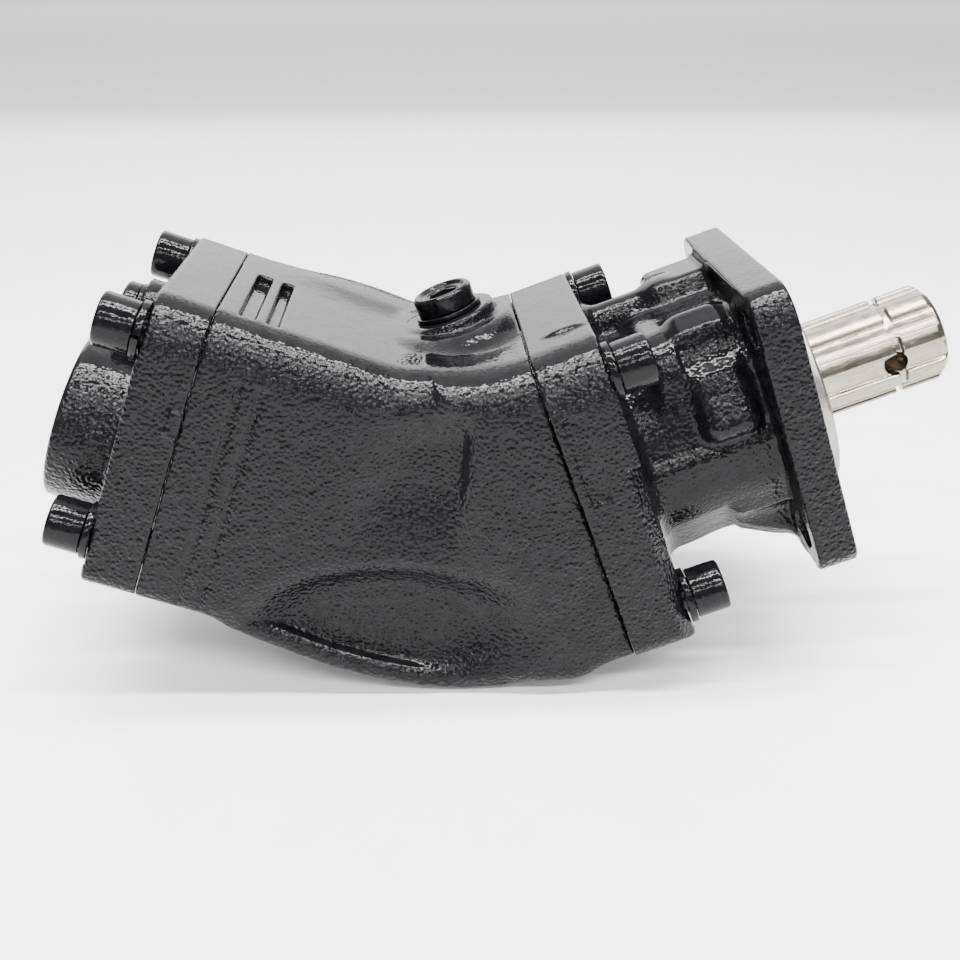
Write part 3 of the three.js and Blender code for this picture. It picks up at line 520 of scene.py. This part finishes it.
def solid(name, field, low, high, cell, block=8):
    """Closed mesh of field == 0 inside a box, in mm of the row frame."""
    low = np.array(low, float) - 3 * cell
    counts = np.ceil((np.array(high, float) + 3 * cell - low) / (cell * block)).astype(int)
    index = np.stack(np.meshgrid(*[np.arange(n) for n in counts], indexing="ij"), -1).reshape(-1, 3)
    centres = low + (index * block + (block - 1) / 2) * cell
    rough = sampled(field, centres)
    near = np.abs(rough) < (math.sqrt(3) * (block - 1) / 2 + 1.5) * cell * 1.25
    grid = np.repeat(np.where(rough < 0, -3.0, 3.0)[:, None], block ** 3, 1).astype(np.float32)
    inner = np.stack(np.meshgrid(*[np.arange(block)] * 3, indexing="ij"), -1).reshape(-1, 3)
    picked = np.nonzero(near)[0]
    points = (low + (index[picked][:, None, :] * block + inner[None]) * cell).reshape(-1, 3)
    values = sampled(field, points) / cell
    grid[picked] = np.clip(values, -3, 3).reshape(len(picked), -1)
    dense = grid.reshape(*counts, block, block, block).transpose(0, 3, 1, 4, 2, 5)
    dense = np.ascontiguousarray(dense.reshape(counts * block))
    volume = openvdb.FloatGrid(background=3.0)
    volume.copyFromArray(dense)
    verts, quads = volume.convertToQuads(isovalue=0.0)
    verts = low + np.asarray(verts, float) * cell
    quads = np.asarray(quads)
    step = 0.04
    for _ in range(2):
        value = sampled(field, verts)
        slope = np.stack([
            (sampled(field, verts + step * axis) - sampled(field, verts - step * axis)) / (2 * step)
            for axis in np.eye(3)
        ], -1)
        shift = -slope * (value / np.maximum((slope * slope).sum(-1), 0.25))[:, None]
        size = np.linalg.norm(shift, axis=1)
        verts = verts + shift * np.minimum(1, 0.6 * cell / np.maximum(size, 1e-9))[:, None]
    a, b, c, d = (verts[quads[:, k]] for k in range(4))
    volume6 = (np.cross(b - a, c - a) * a).sum() + (np.cross(c - a, d - a) * a).sum()
    if volume6 < 0:
        quads = quads[:, ::-1]
    obj = finish_mesh(name, verts, quads)
    print(name, "faces", len(quads))
    return obj


def corners_of(node, extra=1.5):
    lo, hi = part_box(node)
    return [c / M - extra for c in lo], [c / M + extra for c in hi]


# ------------------------------------------------------------------ turned and swept pieces
def softened(profile, steps=4):
    """Profile of (x, r, corner size, hexagon) with each corner drawn as a short curve."""
    out = []
    for k, (x, r, size, hexa) in enumerate(profile):
        if not size or k in (0, len(profile) - 1):
            out.append((x, r, hexa))
            continue
        here = np.array([x, r])
        before = np.array(profile[k - 1][:2]) - here
        after = np.array(profile[k + 1][:2]) - here
        p = here + before / np.linalg.norm(before) * min(size, np.linalg.norm(before) * 0.49)
        q = here + after / np.linalg.norm(after) * min(size, np.linalg.norm(after) * 0.49)
        for t in np.linspace(0, 1, steps + 1):
            s = (1 - t) ** 2 * p + 2 * t * (1 - t) * here + t * t * q
            out.append((s[0], s[1], hexa))
    return out


def turned(name, profile, origin, axis, up, turn=0.0, segments=48):
    """Profile turned about an axis; hexagonal rings where the profile says so."""
    rings = softened(profile)
    side = np.cross(axis, up)
    angles = turn + np.arange(segments) * 2 * math.pi / segments
    local = np.arange(segments) * 2 * math.pi / segments
    sixth = math.pi / 3
    hexagon = math.cos(sixth / 2) / np.cos(local % sixth - sixth / 2)
    points, faces = [], []
    for x, r, hexa in rings:
        radius = r * (hexagon if hexa else np.ones(segments))
        ring = origin + x * axis + radius[:, None] * (
            np.cos(angles)[:, None] * up + np.sin(angles)[:, None] * side
        )
        points.extend(ring)
    for i in range(len(rings) - 1):
        for k in range(segments):
            n = (k + 1) % segments
            faces.append((i * segments + k, i * segments + n, (i + 1) * segments + n, (i + 1) * segments + k))
    faces.append(tuple(range(segments - 1, -1, -1)))
    last = (len(rings) - 1) * segments
    faces.append(tuple(range(last, last + segments)))
    obj = finish_mesh(name, points, faces, sharp=38)
    if sum_volume(obj) < 0:
        obj.data.flip_normals()
    return obj


def sum_volume(obj):
    mesh = obj.data
    mesh.calc_loop_triangles()
    co = np.zeros(len(mesh.vertices) * 3)
    mesh.vertices.foreach_get("co", co)
    co = co.reshape(-1, 3)
    tri = np.zeros(len(mesh.loop_triangles) * 3, int)
    mesh.loop_triangles.foreach_get("vertices", tri)
    a, b, c = (co[tri.reshape(-1, 3)[:, k]] for k in range(3))
    return float((np.cross(a, b) * c).sum())


def lock_washer(name, origin, axis, up, inner, outer, thick, turn):
    """Split spring washer: a rounded strip bent round, its ends a little apart."""
    side = np.cross(axis, up)
    mid_r, half_r, half_t, edge = (inner + outer) / 2, (outer - inner) / 2, thick / 2 - 0.12, 0.35
    section = []
    for sx, sr in ((1, 1), (-1, 1), (-1, -1), (1, -1)):
        for t in (0.0, 0.5, 1.0):
            a = math.pi / 2 * t
            first, second = (math.cos(a), math.sin(a)) if sx * sr < 0 else (math.sin(a), math.cos(a))
            section.append((sx * (half_t - edge + edge * second), sr * (half_r - edge + edge * first)))
    ordered = sorted(section, key=lambda q: math.atan2(q[1], q[0]))
    steps, gap = 64, math.radians(7)
    points, faces = [], []
    for i in range(steps + 1):
        t = i / steps
        a = turn + gap / 2 + t * (2 * math.pi - gap)
        lift = thick / 2 + 0.12 * (2 * t - 1)
        out = math.cos(a) * up + math.sin(a) * side
        for x, r in ordered:
            points.append(origin + (lift + x) * axis + (mid_r + r) * out)
    n = len(ordered)
    for i in range(steps):
        for k in range(n):
            m = (k + 1) % n
            faces.append((i * n + k, i * n + m, (i + 1) * n + m, (i + 1) * n + k))
    faces.append(tuple(range(n - 1, -1, -1)))
    faces.append(tuple(range(steps * n, steps * n + n)))
    obj = finish_mesh(name, points, faces, sharp=40)
    if sum_volume(obj) < 0:
        obj.data.flip_normals()
    return obj


def cap_screw(name, origin, axis, up, shank, turn):
    """Socket-head cap screw; origin is the seat, under the washer."""
    under = WASHER_THICK + 0.6
    top = under + HEAD_HEIGHT
    corner = 5.0 / math.cos(math.pi / 6)
    profile = [
        (-shank, 0.01, 0, 0), (-shank, BOLT_R - 1, 0.2, 0), (1 - shank, BOLT_R, 0.3, 0), (under, BOLT_R, 0, 0),
        (under, HEAD_R, 0.5, 0), (top, HEAD_R, 1.5, 0), (top, corner + 0.55, 0.25, 0), (top - 0.6, corner, 0.1, 0),
        (top - 0.75, corner, 0, 1), (top - 6.0, corner, 0.3, 1), (top - 6.0, 2.4, 0, 0), (top - 7.0, 0.01, 0, 0),
    ]
    return turned(name, profile, origin, axis, up, turn)


def socket_plug(name, origin, axis, up, head_r, head_h, thread_r, depth, across, turn):
    corner = across / 2 / math.cos(math.pi / 6)
    profile = [
        (-depth, 0.01, 0, 0), (-depth, thread_r - 0.8, 0.3, 0), (0.8 - depth, thread_r, 0.2, 0),
        (-1.2, thread_r, 0.2, 0), (-1.2, thread_r - 0.5, 0.2, 0), (0, thread_r - 0.5, 0, 0), (0, head_r, 0.4, 0),
        (head_h - 1.0, head_r, 0.5, 0), (head_h, head_r - 1.0, 0.5, 0), (head_h, head_r - 2.0, 0.5, 0),
        (head_h - 1.3, corner + 1.6, 0.6, 0), (head_h - 1.3, corner + 0.5, 0.2, 0), (head_h - 1.7, corner, 0.1, 0),
        (head_h - 1.85, corner, 0, 1), (head_h - 7.0, corner, 0.3, 1), (head_h - 7.0, 2.5, 0, 0),
        (head_h - 8.2, 0.01, 0, 0),
    ]
    return turned(name, profile, origin, axis, up, turn)


# ------------------------------------------------------------------ materials
def new_material(name):
    material = bpy.data.materials.new(name)
    material.use_nodes = True
    nodes, links = material.node_tree.nodes, material.node_tree.links
    shader = nodes["Principled BSDF"]
    coords = nodes.new("ShaderNodeTexCoord")
    return material, nodes, links, shader, coords.outputs["Object"]


def noise(nodes, links, vector, scale, detail=2.0, rough=0.5):
    node = nodes.new("ShaderNodeTexNoise")
    node.inputs["Scale"].default_value = scale
    node.inputs["Detail"].default_value = detail
    node.inputs["Roughness"].default_value = rough
    links.new(vector, node.inputs["Vector"])
    return node.outputs["Fac"]


def math_node(nodes, links, kind, a, b):
    node = nodes.new("ShaderNodeMath")
    node.operation = kind
    for socket, value in zip(node.inputs, (a, b)):
        if isinstance(value, (int, float)):
            socket.default_value = value
        else:
            links.new(value, socket)
    return node.outputs[0]


def ranged(nodes, links, value, low, high, to_low, to_high):
    node = nodes.new("ShaderNodeMapRange")
    node.inputs["From Min"].default_value = low
    node.inputs["From Max"].default_value = high
    node.inputs["To Min"].default_value = to_low
    node.inputs["To Max"].default_value = to_high
    links.new(value, node.inputs["Value"])
    return node.outputs["Result"]


def two_tone(nodes, links, fac, dark, light):
    ramp = nodes.new("ShaderNodeValToRGB")
    ramp.color_ramp.elements[0].color = (*dark, 1)
    ramp.color_ramp.elements[1].color = (*light, 1)
    ramp.color_ramp.elements[0].position = 0.3
    ramp.color_ramp.elements[1].position = 0.75
    links.new(fac, ramp.inputs["Fac"])
    return ramp.outputs["Color"]


def bump(nodes, links, height, distance, strength=1.0, normal=None):
    node = nodes.new("ShaderNodeBump")
    node.inputs["Distance"].default_value = distance
    node.inputs["Strength"].default_value = strength
    links.new(height, node.inputs["Height"])
    if normal is not None:
        links.new(normal, node.inputs["Normal"])
    return node.outputs["Normal"]


def paint_material(name, grain_size, grain_height, peel_height, masked):
    """Glossy black paint: sand-cast grain under it, and the soft waves of the paint film."""
    material, nodes, links, shader, place = new_material(name)
    pebbles = noise(nodes, links, place, 1 / (grain_size * M), 3.0, 0.6)
    lumps = noise(nodes, links, place, 1 / (grain_size * 3.2 * M), 2.0, 0.5)
    waves = noise(nodes, links, place, 1 / (9.0 * M), 1.0, 0.4)
    pits = nodes.new("ShaderNodeTexVoronoi")
    pits.feature = "SMOOTH_F1"
    pits.inputs["Scale"].default_value = 1 / (grain_size * M)
    pits.inputs["Smoothness"].default_value = 0.6
    links.new(place, pits.inputs["Vector"])
    grain = math_node(nodes, links, "ADD", math_node(nodes, links, "MULTIPLY", pebbles, 0.45),
                      math_node(nodes, links, "MULTIPLY", lumps, 0.35))
    dips = math_node(nodes, links, "MULTIPLY", pits.outputs["Distance"], 0.9)
    grain = math_node(nodes, links, "SUBTRACT", grain, dips)
    if masked:
        mask = nodes.new("ShaderNodeAttribute")
        mask.attribute_name = "grain"
        grain = math_node(nodes, links, "MULTIPLY", grain, mask.outputs["Fac"])
    normal = bump(nodes, links, waves, peel_height * M)
    normal = bump(nodes, links, grain, grain_height * M, 1.0, normal)
    links.new(normal, shader.inputs["Normal"])
    tone = two_tone(nodes, links, lumps, (0.0022, 0.0022, 0.0026), (0.006, 0.006, 0.0068))
    links.new(tone, shader.inputs["Base Color"])
    links.new(ranged(nodes, links, pebbles, 0.3, 0.7, 0.05, 0.11), shader.inputs["Roughness"])
    shader.inputs["IOR"].default_value = 1.5
    shader.inputs["Specular IOR Level"].default_value = 0.13
    return material


def metal_material(name, dark, light, rough, stretch_axis=None, streak=0.4, lines=0.02):
    """Bare metal with tool marks that run round or along the piece."""
    material, nodes, links, shader, place = new_material(name)
    mapping = nodes.new("ShaderNodeMapping")
    mapping.vector_type = "POINT"
    links.new(place, mapping.inputs["Vector"])
    if stretch_axis is not None:
        turn = nodes.new("ShaderNodeVectorRotate")
        turn.rotation_type = "Y_AXIS"
        turn.inputs["Angle"].default_value = math.atan2(stretch_axis[2], stretch_axis[0])
        links.new(place, turn.inputs["Vector"])
        links.new(turn.outputs["Vector"], mapping.inputs["Vector"])
        mapping.inputs["Scale"].default_value = (0.06, 1, 1)
    marks = noise(nodes, links, mapping.outputs["Vector"], 1 / (streak * M), 3.0, 0.6)
    cloud = noise(nodes, links, place, 1 / (6 * M), 3.0, 0.6)
    both = math_node(nodes, links, "ADD", math_node(nodes, links, "MULTIPLY", marks, 0.5),
                     math_node(nodes, links, "MULTIPLY", cloud, 0.5))
    links.new(two_tone(nodes, links, both, dark, light), shader.inputs["Base Color"])
    links.new(ranged(nodes, links, both, 0.3, 0.7, rough - 0.06, rough + 0.10), shader.inputs["Roughness"])
    links.new(bump(nodes, links, marks, lines * M), shader.inputs["Normal"])
    shader.inputs["Metallic"].default_value = 1.0
    return material


def rubber_material(name):
    material, nodes, links, shader, place = new_material(name)
    fine = noise(nodes, links, place, 1 / (0.5 * M), 3.0, 0.6)
    dust = noise(nodes, links, place, 1 / (5 * M), 3.0, 0.6)
    tone = two_tone(nodes, links, dust, (0.012, 0.012, 0.012), (0.03, 0.029, 0.028))
    links.new(tone, shader.inputs["Base Color"])
    links.new(ranged(nodes, links, dust, 0.3, 0.7, 0.55, 0.75), shader.inputs["Roughness"])
    links.new(bump(nodes, links, fine, 0.03 * M), shader.inputs["Normal"])
    return material


CAST_PAINT = paint_material("cast_paint", 1.4, 0.56, 0.20, True)
BOLT_PAINT = paint_material("bolt_paint", 0.9, 0.05, 0.10, False)
SHAFT_STEEL = metal_material("shaft_steel", (0.17, 0.15, 0.125), (0.40, 0.36, 0.30), 0.20, SHAFT, 0.5, 0.03)
SPIGOT_STEEL = metal_material("spigot_steel", (0.20, 0.19, 0.17), (0.40, 0.38, 0.35), 0.30, None, 0.6, 0.02)
BEARING_STEEL = metal_material("bearing_steel", (0.50, 0.50, 0.50), (0.68, 0.68, 0.67), 0.22, None, 0.5, 0.01)
DARK_STEEL = metal_material("dark_steel", (0.20, 0.19, 0.18), (0.36, 0.35, 0.33), 0.34, None, 0.6, 0.02)
BRONZE = metal_material("bronze", (0.42, 0.28, 0.12), (0.62, 0.44, 0.22), 0.28, None, 0.5, 0.01)
RUBBER = rubber_material("rubber")


# ------------------------------------------------------------------ castings
def point_normals(mesh):
    n = np.zeros(len(mesh.vertices) * 3)
    mesh.vertices.foreach_get("normal", n)
    return n.reshape(-1, 3)


def casting(node, field, cell, spigot=False):
    low, high = corners_of(node)
    name = node.replace("housing", "casting").replace("rear_cover", "cover_casting")
    obj = solid(name, field, low, high, cell)
    mesh = obj.data
    co = np.zeros(len(mesh.vertices) * 3)
    mesh.vertices.foreach_get("co", co)
    co = co.reshape(-1, 3) / M - BEND
    n = point_normals(mesh)
    flank = np.clip((np.abs(n[:, 1]) - 0.5) / 0.4, 0, 1)
    grain = 0.14 + 0.86 * flank * flank * (3 - 2 * flank)
    under = np.clip((-n[:, 2] - 0.1) / 0.4, 0, 1)
    grain = np.maximum(grain, 0.75 * under)
    u, r = co @ SHAFT, np.hypot(co[:, 1], co @ SHAFT_UP)
    if spigot:
        grain = np.where(u > FLANGE_FACE - 0.2, 0.05, grain)
        grain = np.where((u > BLOCK_RIGHT + 1) & (u < FLANGE_BACK), grain * 0.55, grain)
    layer = mesh.attributes.new("grain", "FLOAT", "POINT")
    layer.data.foreach_set("value", grain.astype(np.float32))
    mesh.materials.append(CAST_PAINT)
    if spigot:
        mesh.materials.append(SPIGOT_STEEL)
        corner = np.zeros(len(mesh.loops), int)
        mesh.loops.foreach_get("vertex_index", corner)
        quads = corner.reshape(-1, 4)
        bare = (u[quads].mean(1) > FLANGE_FACE + 0.35) & (r[quads].mean(1) < SPIGOT_R + 1)
        mesh.polygons.foreach_set("material_index", bare.astype(np.int32))
    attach(obj, "casing")
    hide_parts(node)
    return obj


casting("rear_cover", rear_cover, 0.85)
casting("barrel_housing", barrel_housing, 1.0)
casting("bearing_housing", bearing_housing, 0.85, spigot=True)


def shaft_piece(name, u0, u1, cell):
    def field(p):
        u = (p - BEND) @ SHAFT
        return np.maximum(drive_shaft(p), np.maximum(u0 - u, u - u1))
    box_low, box_high = corners_of("drive_shaft")
    ends = np.array([BEND + a * SHAFT + b * SHAFT_UP for a in (u0, u1) for b in (-47.0, 47.0)])
    if u0 > FLANGE_FACE - 30:
        ends = np.array([BEND + a * SHAFT + b * SHAFT_UP for a in (u0, u1) for b in (-21.0, 21.0)])
        box_low[1], box_high[1] = -21, 21
    low = np.maximum(box_low, [ends[:, 0].min() - 1, box_low[1], ends[:, 2].min() - 1])
    high = np.minimum(box_high, [ends[:, 0].max() + 1, box_high[1], ends[:, 2].max() + 1])
    obj = solid(name, field, low, high, cell)
    obj.data.materials.append(SHAFT_STEEL)
    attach(obj, "shaft")
    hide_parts("drive_shaft")
    return obj


SPLIT = FLANGE_FACE - 12
shaft_piece("shaft_body", -60, SPLIT, 1.0)
shaft_piece("shaft_spline_end", SPLIT, 260, 0.5)

# ------------------------------------------------------------------ fasteners
GOLDEN = 2.39996


def dress(obj, node, material, body="casing"):
    obj.data.materials.append(material)
    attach(obj, body)
    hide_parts(node)


for prefix, places, axis, up, seat in (
    ("rear", REAR_BOLTS, BARREL, BARREL_UP, COVER_OUT - 0.4),
    ("front", FRONT_BOLTS, SHAFT, SHAFT_UP, BLOCK_RIGHT - 0.4),
):
    for k, (y, w) in enumerate(places, 1):
        base = BEND + seat * axis + w * up + np.array([0, y, 0])
        shank = seat - reach(f"{prefix}_bolt_{k}", axis)[0]
        turn = GOLDEN * (k + (4 if prefix == "front" else 0))
        screw = cap_screw(f"{prefix}_screw_{k}", base, axis, up, shank, turn)
        dress(screw, f"{prefix}_bolt_{k}", BOLT_PAINT)
        washer = lock_washer(
            f"{prefix}_lock_washer_{k}", base + JOINT_GAP * axis, axis, up,
            BOLT_R + 0.5, WASHER_R, WASHER_THICK, turn,
        )
        dress(washer, f"{prefix}_washer_{k}", BOLT_PAINT)

drain_seat = BEND + DRAIN_U * SHAFT + (DRAIN_TOP + 2.1) * SHAFT_UP + np.array([0, DRAIN_Y, 0])
dress(socket_plug("drain_screw_plug", drain_seat, SHAFT_UP, SHAFT, 10.8, 6.5, 8, 14, 10, 0.4),
      "drain_plug", BOLT_PAINT)
pressure_seat = BEND + (PRESSURE_FACE + 2.1) * BARREL + PRESSURE_W * BARREL_UP + np.array([0, PRESSURE_Y, 0])
dress(socket_plug("pressure_screw_plug", pressure_seat, BARREL, BARREL_UP, 10, 5, 8, 14, 8, 1.1),
      "pressure_plug", BOLT_PAINT)


def flat_ring(name, origin, axis, up, inner, outer, thick):
    profile = [(0, inner, 0.2, 0), (0, outer, 0.3, 0), (thick, outer, 0.3, 0), (thick, inner, 0.2, 0)]
    side = np.cross(axis, up)
    rings = softened([profile[-1]] + profile + [profile[0]])[1:-1]
    n, segments = len(rings), 64
    points, faces = [], []
    for k in range(segments):
        a = 2 * math.pi * k / segments
        out = math.cos(a) * up + math.sin(a) * side
        points.extend(origin + x * axis + r * out for x, r, _ in rings)
    for k in range(segments):
        m = (k + 1) % segments
        for i in range(n):
            j = (i + 1) % n
            faces.append((k * n + i, k * n + j, m * n + j, m * n + i))
    obj = finish_mesh(name, points, faces, sharp=40)
    if sum_volume(obj) < 0:
        obj.data.flip_normals()
    return obj


dress(flat_ring("drain_seal_ring", drain_seat - 1.8 * SHAFT_UP, SHAFT_UP, SHAFT, 8.4, 12.0, 1.5),
      "drain_washer", BOLT_PAINT)
dress(flat_ring("pressure_seal_ring", pressure_seat - 1.8 * BARREL, BARREL, BARREL_UP, 8.4, 10.4, 1.5),
      "pressure_plug_washer", BOLT_PAINT)

# ------------------------------------------------------------------ finishes of the CAD nodes inside
for node, obj in frame["nodes"].items():
    if obj.hide_render:
        continue
    if node in ("cylinder_barrel", "barrel_timing_gear", "shaft_timing_gear", "centre_spring"):
        finish, slot = DARK_STEEL, "dark_steel"
    elif node == "valve_plate":
        finish, slot = BRONZE, "bronze"
    elif node in ("rear_casing_seal", "front_casing_seal", "shaft_seal"):
        finish, slot = RUBBER, "rubber"
    else:
        finish, slot = BEARING_STEEL, "bearing_steel"
    obj.data.materials.clear()
    obj.data.materials.append(finish)

# ------------------------------------------------------------------ floor, light and camera
floor_mesh = bpy.data.meshes.new("floor")
half = 40.0
ground = CAD_LOW[2] - 0.0002
floor_mesh.from_pydata(
    [(-half, -half, ground), (half, -half, ground), (half, half, ground), (-half, half, ground)],
    [], [(0, 1, 2, 3)],
)
floor = bpy.data.objects.new("floor", floor_mesh)
bpy.context.scene.collection.objects.link(floor)
floor_material, nodes, links, shader, place = new_material("floor_pale")
cloud = noise(nodes, links, place, 30, 2)
tone = two_tone(nodes, links, cloud, (0.86, 0.86, 0.87), (0.90, 0.90, 0.90))
links.new(tone, shader.inputs["Base Color"])
shader.inputs["Roughness"].default_value = 0.7
floor_mesh.materials.append(floor_material)

CENTRE = Vector(BEND * M)


def area_light(name, place, size_x, size_y, power, target=None):
    light = bpy.data.lights.new(name, "AREA")
    light.shape = "RECTANGLE"
    light.size, light.size_y = size_x, size_y
    light.energy = power
    obj = bpy.data.objects.new(name, light)
    obj.location = CENTRE + Vector(place)
    aim = (CENTRE if target is None else CENTRE + Vector(target)) - obj.location
    obj.rotation_euler = aim.to_track_quat("-Z", "Y").to_euler()
    bpy.context.scene.collection.objects.link(obj)
    return obj


area_light("back_panel", (0.0, 1.5, 0.75), 2.6, 1.1, 30)
area_light("top_strip_a", (0.0, -0.25, 1.2), 1.6, 0.07, 44)
area_light("top_strip_b", (0.0, 0.05, 1.2), 1.6, 0.07, 32)
area_light("front_strip", (0.0, -0.9, 1.0), 1.5, 0.05, 24)
area_light("front_strip_low", (0.2, -1.3, 0.75), 1.6, 0.04, 12)
area_light("overhead", (0.0, 1.2, 3.2), 3.0, 3.0, 80, (0.0, 0.8, 0.0))
area_light("far_floor_light", (0.0, 9.0, 4.5), 16.0, 11.0, 900, (0.0, 9.0, 0.0))

world = bpy.data.worlds.new("studio")
world.use_nodes = True
world.node_tree.nodes["Background"].inputs["Color"].default_value = (1.0, 1.0, 1.0, 1)
world.node_tree.nodes["Background"].inputs["Strength"].default_value = 0.4
bpy.context.scene.world = world

PITCH, YAW = 0.421, 0.055
camera_data = bpy.data.cameras.new("camera")
camera_data.lens = 42.51
camera_data.sensor_width = 36.0
camera_data.clip_start = 0.01
camera = bpy.data.objects.new("camera", camera_data)
camera.location = CENTRE + Vector((-0.02024, -0.39538, 0.18158))
look = Vector((math.sin(YAW) * math.cos(PITCH), math.cos(YAW) * math.cos(PITCH), -math.sin(PITCH)))
camera.rotation_euler = look.to_track_quat("-Z", "Y").to_euler()
bpy.context.scene.collection.objects.link(camera)
bpy.context.scene.camera = camera
